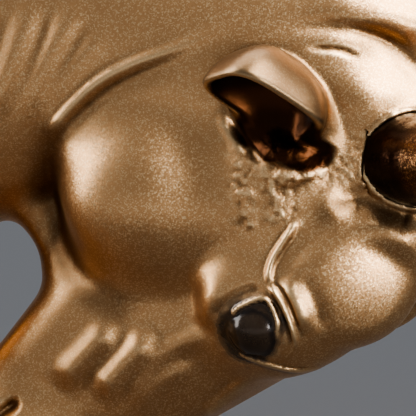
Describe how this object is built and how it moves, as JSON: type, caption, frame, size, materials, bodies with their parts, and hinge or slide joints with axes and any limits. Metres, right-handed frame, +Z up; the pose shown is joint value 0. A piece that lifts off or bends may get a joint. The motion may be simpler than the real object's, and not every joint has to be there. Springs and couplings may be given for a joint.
{
  "type": "bull bust",
  "caption": "Bust of a bull with its head lowered and muzzle tucked in, neck cut flat below, curved horns set in round sockets; bronze-painted casting.",
  "frame": {"origin": "on the flat underside, in the bust's middle plane, near the underside's centre", "axes": "+X the way the bull faces, +Y to the bull's left, +Z up from the underside"},
  "size_m": [0.1564, 0.056, 0.0935],
  "materials": {
    "bronze_paint_skin": "metallic bronze paint with fine sparkle over cast resin, brown wash in the hollows",
    "bronze_paint_horn": "darker, smoother bronze paint over cast resin"
  },
  "bodies": {
    "root": {"head_and_neck": "bronze_paint_skin", "horn_left": "bronze_paint_horn", "horn_right": "bronze_paint_horn"}
  },
  "joints": []
}
